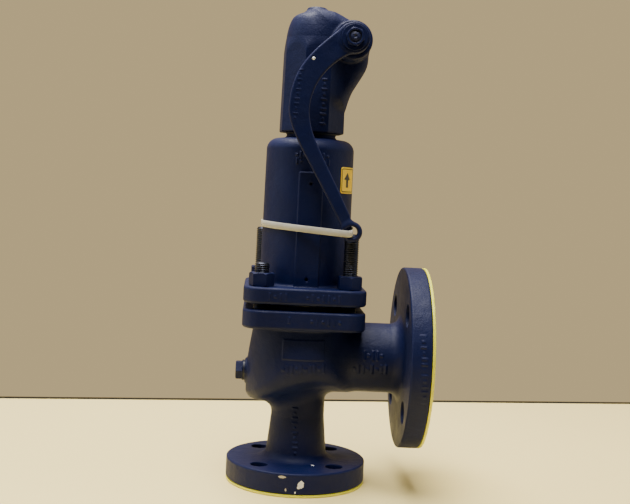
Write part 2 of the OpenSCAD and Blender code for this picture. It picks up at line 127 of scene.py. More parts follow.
def box(p, low, high, edge=0.0):
    """Field of a box with round edges."""
    low, high = np.array(low, float), np.array(high, float)
    q = np.abs(p - (low + high) / 2) - (high - low) / 2 + edge
    outside = np.linalg.norm(np.maximum(q, 0), axis=1)
    return outside + np.minimum(q.max(axis=1), 0) - edge


def polygon(x, y, points):
    """Signed distance to a closed outline in a plane."""
    points = np.array(points, float)
    near = np.full(x.shape, 1e18)
    side = np.ones(x.shape)
    for (ax, ay), (bx, by) in zip(points, np.roll(points, 1, axis=0)):
        ex, ey = bx - ax, by - ay
        wx, wy = x - ax, y - ay
        t = np.clip((wx * ex + wy * ey) / (ex * ex + ey * ey + 1e-12), 0, 1)
        near = np.minimum(near, (wx - ex * t) ** 2 + (wy - ey * t) ** 2)
        above, below, left = y >= ay, y < by, ex * wy > ey * wx
        side = np.where((above & below & left) | (~above & ~below & ~left), -side, side)
    return side * np.sqrt(near)


def rounded_square(p, low, high, edge):
    """Field of a square flange with round corners and softly rounded edges."""
    q = np.abs(p[:, :2]) - (JOINT_HALF - JOINT_CORNER)
    plan = np.linalg.norm(np.maximum(q, 0), axis=1) + np.minimum(q.max(axis=1), 0) - JOINT_CORNER
    return meet(plan, slab(p[:, 2], low, high), edge)


def hexagon(u, v, flats):
    """Field of a six-sided outline, measured across its flats."""
    sides = [np.abs(u * math.cos(a) + v * math.sin(a)) for a in np.radians([0, 60, 120])]
    return np.max(sides, axis=0) - flats / 2


def bezier(a, b, c, d, count):
    """Points along a cubic curve."""
    t = np.linspace(0, 1, count + 1)[:, None]
    a, b, c, d = (np.array(k, float) for k in (a, b, c, d))
    return (1 - t) ** 3 * a + 3 * (1 - t) ** 2 * t * b + 3 * (1 - t) * t * t * c + t ** 3 * d


# ---------------------------------------------------------------- meshing a field

BLOCK = 8
MARGIN = 2.3


def lattice(n):
    """Integer points of an n by n by n grid, x slowest."""
    s = np.arange(n)
    return np.stack(np.meshgrid(s, s, s, indexing="ij"), -1).reshape(-1, 3)


CORNERS = lattice(2)
EDGES = [(i, j) for i in range(8) for j in range(i + 1, 8)
         if np.abs(CORNERS[i] - CORNERS[j]).sum() == 1]


def gradient(field, p, step):
    """Central differences of a field."""
    out = np.empty_like(p)
    for axis in range(3):
        shift = np.zeros(3)
        shift[axis] = step
        out[:, axis] = (field(p + shift) - field(p - shift)) / (2 * step)
    return out


def crossed_cells(field, low, high, cell):
    """The cells of a grid that the surface crosses, and the field at their eight corners.

    Blocks of cells far from the surface are passed over."""
    size = cell * BLOCK
    counts = np.ceil((high - low) / size).astype(int)
    grid = np.stack(np.meshgrid(*[np.arange(n) for n in counts], indexing="ij"), -1).reshape(-1, 3)
    grid = grid[np.abs(field(low + (grid + 0.5) * size)) < size * 1.15]
    offsets = lattice(BLOCK + 1)
    cells, values = [], []
    for chunk in np.array_split(grid, max(1, len(grid) // 300)):
        at = chunk[:, None, :] * BLOCK + offsets[None]
        v = field((low + at.reshape(-1, 3) * cell)).reshape(len(chunk), *(BLOCK + 1,) * 3)
        c = np.stack([v[:, i:BLOCK + i, j:BLOCK + j, k:BLOCK + k] for i, j, k in CORNERS], -1)
        hit = np.argwhere((c.min(-1) < 0) & (c.max(-1) >= 0))
        cells.append(chunk[hit[:, 0]] * BLOCK + hit[:, 1:])
        values.append(c[tuple(hit.T)])
    return np.concatenate(cells), np.concatenate(values)


def mean_crossings(values):
    """For each cell, the middle of the places where the surface crosses its edges."""
    total, seen = np.zeros((len(values), 3)), np.zeros(len(values))
    for i, j in EDGES:
        a, b = values[:, i], values[:, j]
        cross = (a < 0) != (b < 0)
        t = np.where(cross, a / np.where(cross, a - b, 1), 0)[:, None]
        total += np.where(cross[:, None], CORNERS[i] + t * (CORNERS[j] - CORNERS[i]), 0)
        seen += cross
    return total / seen[:, None]


def onto_surface(field, start, reach):
    """Moves points to where the field is zero, each by no more than a short reach."""
    verts = start.copy()
    for _ in range(3):
        g = gradient(field, verts, 0.02)
        step = field(verts)[:, None] * g / np.maximum((g * g).sum(1), 0.2)[:, None]
        verts = start + np.clip(verts - step - start, -reach, reach)
    return verts


def quads_between(cells, values):
    """One quad round each grid edge that crosses the surface."""
    span = cells.max(0) + 3
    keys = ((cells[:, 0] + 1) * span[1] + cells[:, 1] + 1) * span[2] + cells[:, 2] + 1
    order = np.argsort(keys)
    sorted_keys = keys[order]
    strides = np.array([span[1] * span[2], span[2], 1])
    quads = []
    for axis in range(3):
        u, v = (axis + 1) % 3, (axis + 2) % 3
        far = int(np.argwhere((CORNERS == np.eye(3, dtype=int)[axis]).all(1))[0, 0])
        inside = values[:, 0] < 0
        own = np.argwhere(inside != (values[:, far] < 0))[:, 0]
        ring = []
        for du, dv in ((0, 0), (1, 0), (1, 1), (0, 1)):
            want = keys[own] - du * strides[u] - dv * strides[v]
            found = np.clip(np.searchsorted(sorted_keys, want), 0, len(keys) - 1)
            ring.append(np.where(sorted_keys[found] == want, order[found], -1))
        ring = np.stack(ring, 1)
        flip = ~inside[own]
        ring[flip] = ring[flip][:, ::-1]
        quads.append(ring[(ring >= 0).all(1)])
    return np.concatenate(quads)


def mesh_field(field, low, high, cell):
    """Vertices, quads and normals of the surface where a field is zero."""
    low = np.array(low, float) - MARGIN * cell
    high = np.array(high, float) + MARGIN * cell
    cells, values = crossed_cells(field, low, high, cell)
    verts = onto_surface(field, low + (cells + mean_crossings(values)) * cell, 0.6 * cell)
    normals = gradient(field, verts, 0.05)
    normals /= np.linalg.norm(normals, axis=1)[:, None] + 1e-9
    return verts, quads_between(cells, values), normals


# ---------------------------------------------------------------- pieces in Blender

def new_piece(name, verts, faces, material, body, stands_for=(), normals=None):
    """A mesh piece in the frame, given in millimetres. A piece given no body is attached to none."""
    mesh = bpy.data.meshes.new(name)
    if isinstance(faces, np.ndarray):
        sides = faces.shape[1]
        mesh.vertices.add(len(verts))
        mesh.vertices.foreach_set("co", (np.asarray(verts) * MM).astype(np.float32).ravel())
        mesh.loops.add(faces.size)
        mesh.loops.foreach_set("vertex_index", faces.astype(np.int32).ravel())
        mesh.polygons.add(len(faces))
        mesh.polygons.foreach_set("loop_start", np.arange(0, faces.size, sides, dtype=np.int32))
        mesh.update(calc_edges=True)
    else:
        mesh.from_pydata([tuple(np.array(v) * MM) for v in verts], [], faces)
    mesh.validate()
    mesh.polygons.foreach_set("use_smooth", [True] * len(mesh.polygons))
    if normals is not None:
        mesh.normals_split_custom_set_from_vertices(normals)
    mesh.materials.append(material)
    obj = bpy.data.objects.new(name, mesh)
    bpy.context.collection.objects.link(obj)
    if body:
        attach(obj, body)
    if stands_for:
        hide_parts(*stands_for)
    return obj


def cast(name, field, low, high, cell, material, body, stands_for=()):
    """A piece made from a distance field."""
    verts, quads, normals = mesh_field(field, low, high, cell)
    return new_piece(name, verts, quads, material, body, stands_for, normals)


# ---------------------------------------------------------------- materials

class Tree:
    """Short names for building a node tree."""

    def __init__(self, tree):
        self.tree = tree

    def add(self, kind, **settings):
        node = self.tree.nodes.new(kind)
        for key, value in settings.items():
            setattr(node, key, value)
        return node

    def link(self, a, b):
        self.tree.links.new(a, b)

    def levels(self, value, low, high, to_low=0.0, to_high=1.0):
        node = self.add("ShaderNodeMapRange")
        self.link(value, node.inputs["Value"])
        names = ("From Min", "From Max", "To Min", "To Max")
        for key, number in zip(names, (low, high, to_low, to_high)):
            node.inputs[key].default_value = number
        return node.outputs["Result"]

    def mix(self, factor, a, b):
        node = self.add("ShaderNodeMix", data_type="RGBA")
        for key, value in (("Factor", factor), ("A", a), ("B", b)):
            socket = [s for s in node.inputs if s.name == key and s.enabled][0]
            if isinstance(value, tuple):
                socket.default_value = (*value, 1)
            elif isinstance(value, (int, float)):
                socket.default_value = value
            else:
                self.link(value, socket)
        return [s for s in node.outputs if s.enabled][0]


class Nodes(Tree):
    """Short names for building a material's node tree."""

    def __init__(self, name):
        self.material = bpy.data.materials.new(name)
        self.material.use_nodes = True
        super().__init__(self.material.node_tree)
        self.shader = self.tree.nodes["Principled BSDF"]
        self.place = self.add("ShaderNodeTexCoord").outputs["Object"]

    def noise(self, scale, detail=2.0, rough=0.5):
        node = self.add("ShaderNodeTexNoise")
        self.link(self.place, node.inputs["Vector"])
        node.inputs["Scale"].default_value = scale
        node.inputs["Detail"].default_value = detail
        node.inputs["Roughness"].default_value = rough
        return node.outputs["Fac"]

    def ramp(self, value, stops):
        node = self.add("ShaderNodeValToRGB")
        self.link(value, node.inputs["Fac"])
        ends = node.color_ramp.elements
        while len(ends) < len(stops):
            ends.new(0.5)
        for element, (at, colour) in zip(ends, stops):
            element.position = at
            element.color = (*colour, 1)
        return node.outputs["Color"]

    def math(self, operation, a, b=None):
        node = self.add("ShaderNodeMath", operation=operation)
        for socket, value in zip(node.inputs, (a, b)):
            if isinstance(value, (int, float)):
                socket.default_value = value
            elif value is not None:
                self.link(value, socket)
        return node.outputs[0]

    def bump(self, height, depth, normal=None):
        node = self.add("ShaderNodeBump")
        node.inputs["Distance"].default_value = depth
        node.inputs["Strength"].default_value = 1
        self.link(height, node.inputs["Height"])
        if normal is not None:
            self.link(normal, node.inputs["Normal"])
        return node.outputs["Normal"]

    def spot(self, x, y, z, size, squash=(1, 1, 1), ragged=0.5):
        """1 inside a ragged patch about a point, 0 outside, in millimetres."""
        away = self.add("ShaderNodeVectorMath", operation="SUBTRACT")
        self.link(self.place, away.inputs[0])
        away.inputs[1].default_value = (x * MM, y * MM, z * MM)
        scaled = self.add("ShaderNodeVectorMath", operation="MULTIPLY")
        self.link(away.outputs[0], scaled.inputs[0])
        scaled.inputs[1].default_value = squash
        length = self.add("ShaderNodeVectorMath", operation="LENGTH")
        self.link(scaled.outputs[0], length.inputs[0])
        edge = self.math("MULTIPLY", self.noise(700, 3.0, 0.6), ragged * size * MM * 2)
        reach = self.math("ADD", length.outputs["Value"], edge)
        return self.levels(reach, size * MM * (1 + ragged) * 1.03, size * MM * (1 + ragged) * 0.97)

    def finish(self, colour, rough, normal=None, metallic=0.0, specular=0.5):
        for key, value in (("Base Color", colour), ("Roughness", rough), ("Normal", normal)):
            if value is None:
                continue
            if isinstance(value, float):
                self.shader.inputs[key].default_value = value
            else:
                self.link(value, self.shader.inputs[key])
        self.shader.inputs["Specular IOR Level"].default_value = specular
        self.shader.inputs["Metallic"].default_value = metallic
        return self.material


NAVY = [(0.3, (0.0008, 0.0042, 0.0390)), (0.55, (0.0012, 0.0052, 0.0460)), (0.75, (0.0024, 0.0072, 0.0540))]
DUST = (0.06, 0.06, 0.085)


def cast_paint(name, grain=1.0, chips=(), specular=0.22):
    """Navy enamel over a sand-cast surface, with a few chips down to the primer."""
    m = Nodes(name)
    patch = m.noise(28, 3.0, 0.6)
    fine = m.noise(900, 2.0, 0.5)
    colour = m.ramp(patch, NAVY)
    dust = m.levels(m.noise(160, 4.0, 0.7), 0.62, 0.8, 0.0, 0.06)
    colour = m.mix(dust, colour, DUST)
    mottle = m.math("ADD", m.noise(60, 3.0, 0.6), m.math("MULTIPLY", fine, 0.35))
    rough = m.levels(mottle, 0.4, 0.95, 0.46, 0.64)
    coarse = m.noise(170, 2.0, 0.5)
    normal = m.bump(coarse, 0.00035 * grain)
    normal = m.bump(fine, 0.00016 * grain, normal)
    for x, y, z, size, squash, tint in chips:
        spot = m.spot(x, y, z, size, squash)
        colour = m.mix(spot, colour, tint)
        rough = m.math("ADD", rough, m.math("MULTIPLY", spot, 0.3))
    return m.finish(colour, rough, normal, specular=specular)


def machined(name, tint, rough_low, rough_high, metallic=1.0, stain=0.25):
    """Turned or ground metal with fine tool marks and a little staining."""
    m = Nodes(name)
    stretch = m.add("ShaderNodeMapping")
    m.link(m.place, stretch.inputs["Vector"])
    stretch.inputs["Scale"].default_value = (1, 1, 9)
    marks = m.add("ShaderNodeTexNoise")
    m.link(stretch.outputs["Vector"], marks.inputs["Vector"])
    marks.inputs["Scale"].default_value = 420
    marks.inputs["Detail"].default_value = 3
    blotch = m.noise(70, 4.0, 0.65)
    dark = tuple(c * (1 - stain) for c in tint)
    colour = m.mix(m.levels(blotch, 0.35, 0.7), tint, dark)
    rough = m.levels(blotch, 0.3, 0.75, rough_low, rough_high)
    normal = m.bump(marks.outputs["Fac"], 0.00008)
    return m.finish(colour, rough, normal, metallic)


def moulded(name, tint, shade, rough, through=0.0, grain=0.0002):
    """Soft moulded plastic with faint flow marks."""
    m = Nodes(name)
    colour = m.mix(m.levels(m.noise(45, 3.0, 0.6), 0.35, 0.7), tint, shade)
    roughness = m.levels(m.noise(260, 2.0, 0.5), 0.3, 0.7, rough - 0.06, rough + 0.08)
    normal = m.bump(m.noise(600, 2.0, 0.5), grain)
    material = m.finish(colour, roughness, normal)
    if through:
        m.shader.inputs["Subsurface Weight"].default_value = through
        m.shader.inputs["Subsurface Radius"].default_value = (1.0, 0.9, 0.5)
        m.shader.inputs["Subsurface Scale"].default_value = 0.002
    return material


WHITE_CHIP = (0.75, 0.74, 0.72)
BEIGE_CHIP = (0.42, 0.38, 0.3)
paint_body = cast_paint("navy_body", chips=(
    (3.1, -57.4, 9.8, 2.3, (1.0, 1, 0.8), WHITE_CHIP),
    (1.2, -57.4, 7.6, 1.2, (1.0, 1, 0.9), WHITE_CHIP),
    (-12.0, -56.2, 15.2, 1.6, (0.5, 1, 1.6), BEIGE_CHIP),
    (-8.8, -56.8, 5.2, 0.9, (1.4, 1, 0.7), BEIGE_CHIP),
    (-1.3, -57.5, 3.4, 0.7, (1, 1, 1), WHITE_CHIP),
    (13.0, -28.5, 18.0, 1.1, (0.8, 1, 1), WHITE_CHIP),
    (79.7, -75.0, 104.4, 0.6, (1, 1, 0.6), WHITE_CHIP),
    (82.0, -73.4, 89.4, 0.6, (1, 1, 0.6), WHITE_CHIP),
))
paint_bonnet = cast_paint("navy_bonnet", 0.9)
paint_cap = cast_paint("navy_cap", 1.1)
paint_lever = cast_paint("navy_lever", 0.8)
paint_nuts = cast_paint("navy_fasteners", 0.35)
dark_thread = machined("dark_thread", (0.03, 0.033, 0.05), 0.25, 0.42, 0.8)
painted_steel = machined("painted_steel", (0.01, 0.012, 0.028), 0.35, 0.5, 0.0)
steel = machined("turned_steel", (0.55, 0.55, 0.56), 0.25, 0.45)
stainless = machined("stainless", (0.62, 0.61, 0.59), 0.2, 0.36, 1.0, 0.12)
spring_wire = machined("spring_wire", (0.2, 0.21, 0.22), 0.3, 0.5, 0.9)
graphite = moulded("graphite_sheet", (0.02, 0.02, 0.022), (0.035, 0.035, 0.036), 0.62)
yellow_cover = moulded("yellow_cover", (0.8, 0.76, 0.04), (0.72, 0.7, 0.03), 0.42, 0.2)
film = moulded("label_film", (0.95, 0.62, 0.001), (0.9, 0.58, 0.001), 0.45, 0.0, 0.00003)
ink = moulded("label_ink", (0.012, 0.012, 0.012), (0.02, 0.02, 0.02), 0.4, 0.0, 0.00003)
nylon = moulded("natural_nylon", (0.5, 0.48, 0.41), (0.43, 0.41, 0.35), 0.35, 0.3, 0.00008)


# ---------------------------------------------------------------- raised casting marks

def emboss(p, out, axis, side, marks, relief=0.7, roundness=0.7):
    """Raises plain bars and pips on the side of a field that faces along one axis.

    Each mark is (u, v, half width, half height) in the two other axes."""
    u, v = [i for i in range(3) if i != axis]
    marks = np.array(marks)
    low = (marks[:, :2] - marks[:, 2:]).min(0) - 2
    high = (marks[:, :2] + marks[:, 2:]).max(0) + 2
    near = (np.abs(out) < 5) & (side * p[:, axis] > 10)
    near &= (p[:, u] > low[0]) & (p[:, u] < high[0]) & (p[:, v] > low[1]) & (p[:, v] < high[1])
    q, base = p[near], out[near]
    plan = np.full(len(q), 1e9)
    for pu, pv, half_u, half_v in marks:
        corner = min(half_u, half_v) * roundness
        du = np.abs(q[:, u] - pu) - half_u + corner
        dv = np.abs(q[:, v] - pv) - half_v + corner
        shape = np.hypot(np.maximum(du, 0), np.maximum(dv, 0)) + np.minimum(np.maximum(du, dv), 0) - corner
        plan = np.minimum(plan, shape)
    out[near] = join(base, meet(plan, base - relief, 0.5), 0.5)
    return out


def row(u, v, step_u, step_v, pattern, size):
    """A row of marks: i is an upright bar, - a lying bar, . a pip and a space leaves a gap."""
    shapes = {"i": (0.24, 1.0), "-": (0.8, 0.24), ".": (0.34, 0.34)}
    out = []
    for k, kind in enumerate(pattern):
        if kind in shapes:
            half_u, half_v = shapes[kind]
            out.append((u + k * step_u, v + k * step_v, half_u * size, half_v * size))
    return out


# ---------------------------------------------------------------- body casting

def bowl_depth(x):
    """How far the bowl's rounded underside hangs below z = 107, along X."""
    chin = 3 * np.log1p(np.exp((-x - 30) / 3))
    return 36.5 - 6.5 * np.tanh((x - 2) / 14) - 0.28 * chin


def bowl(p, inset):
    """Bowl of the body, or its hollow when inset by the wall's thickness."""
    x, y, z = p.T
    wall = 44.1 - 0.146 * 4 * np.log1p(np.exp((z - 98) / 4)) - inset
    depth = bowl_depth(x) - inset
    under = (np.hypot(y / (47 - inset), np.minimum(z - 107, 0) / depth) - 1) * depth
    return meet(np.hypot(x, y) - wall, under, 5)


def bolt_holes(p, axis, centre, pcd, radius, low, high):
    """Four bolt holes between the other two axes."""
    out = np.full(len(p), 1e9)
    for a in np.radians([45, 135, 225, 315]):
        at = (centre[0] + pcd / 2 * math.cos(a), centre[1] + pcd / 2 * math.sin(a))
        out = np.minimum(out, rod(p, axis, at, radius, low, high))
    return out


def stud_holes(p, radius, low, high):
    out = np.full(len(p), 1e9)
    for x in (-STUD_OFFSET, STUD_OFFSET):
        for y in (-STUD_OFFSET, STUD_OFFSET):
            out = np.minimum(out, rod(p, 2, (x, y), radius, low, high))
    return out


def body_field(p):
    x, y, z = p.T
    rho = np.hypot(x, y)
    inlet = rod(p, 2, (0, 0), 57.46, RAISED_FACE, 18, 1.3)
    neck = np.maximum(rho - 24.2 + 0.095 * np.clip(z - 30, -4, 24), slab(z, 10, 84))
    out = join(inlet, neck, 8)
    out = join(out, np.maximum(bowl(p, 0), z - 132), 9)
    branch = rod(p, 0, (0, OUTLET_Z - 1.4), 28.6, 0, 92)
    out = join(out, branch, 6)
    flange = rod(p, 0, (0, OUTLET_Z), 74.6, 82, OUTLET_X - RAISED_FACE, 1.5)
    out = join(out, flange, 9)
    out = join(out, rounded_square(p, *BODY_JOINT, 2.2), 3)
    out = emboss(p, out, 1, -1, PAD, 0.45, 0.1)
    out = join(out, rod(p, 0, (0, PLUG_Z), 10, -45.4, -34, 0.5), 2)
    for marks, relief in BODY_MARKS:
        out = emboss(p, out, 1, -1, marks, relief)
    out = join(out, rod(p, 2, (0, 0), 34, 0, 4))
    out = join(out, rod(p, 0, (0, OUTLET_Z), 44, 96, OUTLET_X))
    out = join(out, rod(p, 2, (0, 0), 42.4, 140, 147.4))
    # Hollow, bores and holes
    hollow = np.maximum(bowl(p, 6.5), z - 139)
    hollow = join(hollow, rod(p, 2, (0, 0), 19.5, 62, 95), 2)
    hollow = join(hollow, rod(p, 2, (0, 0), 37.5, 139.4, 150))
    hollow = join(hollow, rod(p, 2, (0, 0), 12.5, -5, 45))
    hollow = join(hollow, rod(p, 2, (0, 0), 16, 40, 64))
    hollow = join(hollow, rod(p, 0, (0, OUTLET_Z), 20, 20, 105), 2)
    hollow = join(hollow, rod(p, 0, (0, PLUG_Z), 5, -50, -30))
    out = cut(out, hollow, 0.2)
    out = cut(out, bolt_holes(p, 2, (0, 0), INLET_BOLT_CIRCLE, INLET_HOLE_R, -5, 25), 0.5)
    out = cut(out, bolt_holes(p, 0, (0, OUTLET_Z), OUTLET_BOLT_CIRCLE, OUTLET_HOLE_R, 75, 105), 0.5)
    return cut(out, stud_holes(p, 6.1, 130.6, 150), 0.4)


PAD = [(0.75, 113.1, 16.75, 7.9)]
BODY_MARKS = (
    (row(-15, 97.2, 3.6, 0.2, ".ii.i.ii.i", 3.9), 0.5),
    (row(50.5, 109, 3.5, 0.1, "i.ii.", 3.9), 0.6),
    (row(42.5, 97.6, 3.7, 0.1, ".ii.i.ii", 4.1), 0.5),
    (row(-3.2, 62.5, 0.2, -4.0, "-.--.-.--.", 3.0), 0.75),
    (row(90.8, 132.5, 0.3, -4.3, "-.-.--.-.--.-", 3.2), 0.37),
    (row(-12, 137.5, 4.4, -0.05, "i   .i.ii.", 2.6), 0.4),
)

cast("body_casting", body_field, (-58, -76, 0), (100, 76, 181), 1.0,
     paint_body, "housing", ["body"])


# ---------------------------------------------------------------- bonnet casting

def bonnet_radius(z):
    return 36.5 - 0.8 * (z - BONNET_JOINT[1]) / 109.6


def bonnet_field(p):
    x, y, z = p.T
    rho = np.hypot(x, y)
    wall = rho - bonnet_radius(z)
    out = meet(wall, z - (284.3 - 0.12 * rho), 8)
    out = np.maximum(out, 155 - z)
    out = join(out, rounded_square(p, *BONNET_JOINT, 2.2), 2.5)
    out = join(out, box(p, (-9.2, -37.3, 158), (9.8, -20, 253.8), 0.7), 0.8)
    out = join(out, rod(p, 2, (0, 0), 20, 270, 284.6, 0.6), 2)
    out = emboss(p, out, 1, -1, BONNET_MARKS, 0.7)
    out = emboss(p, out, 1, -1, JOINT_MARKS, 0.35)
    out = join(out, rod(p, 2, (0, 0), 17.5, 280, 297, 0.5))
    hollow = meet(rho - 29.5, slab(z, 140, 266), 5)
    out = cut(out, join(hollow, rod(p, 2, (0, 0), 10.05, 250, 300)), 0.3)
    for height in (168.8, 244.7):
        out = cut(out, rod(p, 1, (0.3, height), 1.25, -42, -33), 0.3)
    return cut(out, stud_holes(p, 6.5, 145, 165), 0.3)


BONNET_MARKS = (row(-12, 267.5, 3.2, 0, ".i.", 2.4) + row(-11.5, 262.5, 3.2, 0, "i.", 2.4)
                + row(9.5, 267, 3.2, 0, "i.", 2.4) + row(10.5, 262, 3.2, 0, ".i", 2.2))
JOINT_MARKS = row(-28, 155.5, 4.2, 0, "i.ii   .i.ii.i", 2.7)

cast("bonnet_casting", bonnet_field, (-JOINT_HALF, -JOINT_HALF, BONNET_JOINT[0]),
     (JOINT_HALF, JOINT_HALF, 297), 0.9, paint_bonnet, "housing", ["bonnet"])


# ---------------------------------------------------------------- cap casting

CAP_DOME = np.concatenate([
    [[-5, 270], [31, 270], [31, 338]],
    bezier((29.5, 343), (27.4, 350), (25, 357), (23.9, 362), 8),
    bezier((23.9, 362), (23.2, 368.5), (21.6, 375.5), (18.8, 379), 10)[1:],
    bezier((18.8, 379), (16.5, 381.5), (13.5, 382.3), (9.7, 383.7), 8)[1:],
    [[-5, 385.5]],
])
POCKET = np.concatenate([
    [[0, 309], [24.5, 309]],
    bezier((24.5, 309), (28, 315), (35, 327), (39, 334), 6)[1:],
    bezier((39, 334), (42.5, 340), (42.9, 344), (42.9, 350), 5)[1:],
    [[42.9, 359], [40, 368], [34, 373.4], [28, 377], [20.9, 380.3], [14, 382.6], [0, 383.4]],
])


def cap_field(p):
    x, y, z = p.T
    rho = np.hypot(x, y)
    turns = CAP_TURN + np.radians([0, 45, 90, 135])
    across = np.max([np.abs(x * math.cos(a) + y * math.sin(a)) for a in turns], axis=0)
    flats = across - 25.3 + 0.012 * (z - 286)
    out = meet(flats, polygon(rho, z, CAP_DOME), 0.9)
    out = meet(out, 286 - z, 1.2)
    pocket = meet(polygon(x, z, POCKET), np.abs(y) - 20, 9)
    out = join(out, pocket, 7)
    out = join(out, rod(p, 1, (SHAFT_X, SHAFT_Z), 15.5, -36, 23.5, 1.6), 2.5)
    out = join(out, rod(p, 2, (0, 0), 7.8, 370, 387.7, 1.2), 4)
    out = emboss(p, out, 1, -1, CAP_MARKS, 0.45)
    # Hollow for the lock nut, the spindle's head, the fork and the shaft
    hollow = meet(rho - 19.5, slab(z, 298, 374), 6)
    hollow = join(hollow, box(p, (0, -14, 345), (SHAFT_X, 14, 369)), 2)
    hollow = join(hollow, rod(p, 1, (SHAFT_X, SHAFT_Z), 11.5, -14, 14), 1)
    hollow = join(hollow, rod(p, 2, (0, 0), 17.55, 270, 300))
    hollow = join(hollow, rod(p, 1, (SHAFT_X, SHAFT_Z), 5.05, -45, 20))
    hollow = join(hollow, rod(p, 1, (SHAFT_X, SHAFT_Z), 8.05, -45, -22))
    return cut(out, hollow, 0.3)


CAP_MARKS = row(7.5, 293, 0.05, 3.9, "-.--.-.-.-", 3.0)

cast("cap_casting", cap_field, (-28, -37, 286), (44, 24, 388), 0.7,
     paint_cap, "housing", ["cap"])


# ---------------------------------------------------------------- lever

ARM = np.concatenate([
    bezier((20.5, 368.6), (1, 351.5), (-19, 338), (-20.2, 306), 14),
    bezier((-20.2, 306), (-21, 286), (-6, 269), (26, 211.5), 14)[1:],
    [[EYE_X, EYE_Z + 5], [31.4, 221.5]],
    bezier((31.4, 221.5), (7, 270), (-5, 284), (-4, 304), 14)[1:],
    bezier((-4, 304), (-3, 326), (14, 341.5), (26.5, 346.8), 14)[1:],
    [[SHAFT_X, SHAFT_Z]],
])


def lever_field(p):
    x, y, z = p.T
    plan = polygon(x, z, ARM)
    out = meet(plan, slab(y, LEVER_FRONT, LEVER_BACK), 1.6)
    out = join(out, rod(p, 1, (SHAFT_X, SHAFT_Z), 12.2, LEVER_FRONT - 0.5, LEVER_BACK + 2.5, 1.4), 2)
    ring = meet(np.hypot(x - EYE_X, z - EYE_Z) - 8.2, slab(y, LEVER_FRONT, LEVER_BACK), 2.4)
    out = join(out, ring, 3.5)
    out = emboss(p, out, 1, -1, LEVER_MARKS, 0.18)
    out = cut(out, rod(p, 1, (EYE_X, EYE_Z), 4.4, -60, -30), 1.6)
    out = cut(out, rod(p, 1, (SHAFT_X, SHAFT_Z), SHAFT_R, -60, -30), 0.3)
    return cut(out, rod(p, 1, (RIVET_X, RIVET_Z), RIVET_R, -60, -30), 0.5)


LEVER_MARKS = row(-12.3, 332, -0.3, -3.7, "-.-.-.--.-.", 2.4)

cast("lever_casting", lever_field, (-22, -50, 200), (41, -40, 372), 0.6,
     paint_lever, "lever_set", ["lever"])


# ---------------------------------------------------------------- fasteners

def nut_field(axis, centre, flats, low, high, bore, turn=0.0):
    """A chamfered hexagon nut, or a bolt head when its bore is zero."""
    u, v = [i for i in range(3) if i != axis]

    def field(p):
        du, dv = p[:, u] - centre[0], p[:, v] - centre[1]
        c, s = math.cos(turn), math.sin(turn)
        out = meet(hexagon(du * c + dv * s, dv * c - du * s, flats), slab(p[:, axis], low, high), 0.25)
        radial = np.hypot(du, dv)
        middle = np.abs(p[:, axis] - (low + high) / 2) - (high - low) / 2
        cone = middle * 0.866 + (radial - flats * 0.49) * 0.5
        out = np.maximum(out, cone)
        return cut(out, radial - bore, 0.5) if bore else out
    return field


def merged(parts):
    """Several meshes as one."""
    verts, quads, normals, start = [], [], [], 0
    for v, q, n in parts:
        verts.append(v)
        quads.append(q + start)
        normals.append(n)
        start += len(v)
    return np.concatenate(verts), np.concatenate(quads), np.concatenate(normals)


NUT_LOW, NUT_HIGH, NUT_REACH = 162.4, 173.2, 11
NUT_TURNS = (0.35, 1.1, 0.1, 0.75)
stud_places = [(x, y) for x in (-STUD_OFFSET, STUD_OFFSET) for y in (-STUD_OFFSET, STUD_OFFSET)]
nuts = []
for (x, y), turn in zip(stud_places, NUT_TURNS):
    field = nut_field(2, (x, y), 18, NUT_LOW, NUT_HIGH, 6.05, turn)
    nuts.append(mesh_field(field, (x - NUT_REACH, y - NUT_REACH, NUT_LOW),
                           (x + NUT_REACH, y + NUT_REACH, NUT_HIGH), 0.45))
verts, quads, normals = merged(nuts)
new_piece("stud_nuts_chamfered", verts, quads, paint_nuts, "housing",
          ["stud_nuts"], normals)


def threaded_rod(x, y, low, high, radius, pitch, depth):
    """A rod with a true helical thread and chamfered ends, as vertices and faces."""
    around, per_turn = 36, 8
    rows = int(round((high - low) / pitch * per_turn))
    a = np.linspace(0, 2 * math.pi, around, endpoint=False)
    z = np.linspace(low, high, rows + 1)
    phase = ((z[:, None] - low) / pitch - a[None] / (2 * math.pi)) % 1.0
    groove = np.clip(np.abs(phase - 0.5) * 2.6 - 0.25, 0, 1)
    r = radius - depth * groove
    ends = np.minimum(z - low, high - z)[:, None]
    r = np.minimum(r, radius - 1.3 + ends)
    ring = np.stack([x + r * np.cos(a), y + r * np.sin(a), np.broadcast_to(z[:, None], r.shape)], -1)
    verts = list(ring.reshape(-1, 3)) + [np.array([x, y, low]), np.array([x, y, high])]
    faces = []
    for i in range(rows):
        for j in range(around):
            k = (j + 1) % around
            faces.append((i * around + j, i * around + k, (i + 1) * around + k, (i + 1) * around + j))
    top = rows * around
    for j in range(around):
        k = (j + 1) % around
        faces.append((len(verts) - 2, k, j))
        faces.append((len(verts) - 1, top + j, top + k))
    return verts, faces


STUD_LOW, STUD_R, STUD_PITCH, STUD_GROOVE = 131, 6, 1.75, 0.75
for name, top, sign in (("long_studs", 206.5, -1), ("short_studs", 181.0, 1)):
    verts, faces = [], []
    for s in (-1, 1):
        v, f = threaded_rod(s * STUD_OFFSET, s * sign * STUD_OFFSET, STUD_LOW, top,
                            STUD_R, STUD_PITCH, STUD_GROOVE)
        faces += [tuple(i + len(verts) for i in face) for face in f]
        verts += v
    new_piece(name + "_threaded", verts, faces, dark_thread, "housing", [name])


def plug_field(p):
    head = nut_field(0, (0, PLUG_Z), 14, -53, -46.7, 0, 0.5)(p)
    out = join(head, rod(p, 0, (0, PLUG_Z), 8.5, -47.6, -46.9, 0.3))
    return join(out, rod(p, 0, (0, PLUG_Z), 5, -47, -34, 0.4))


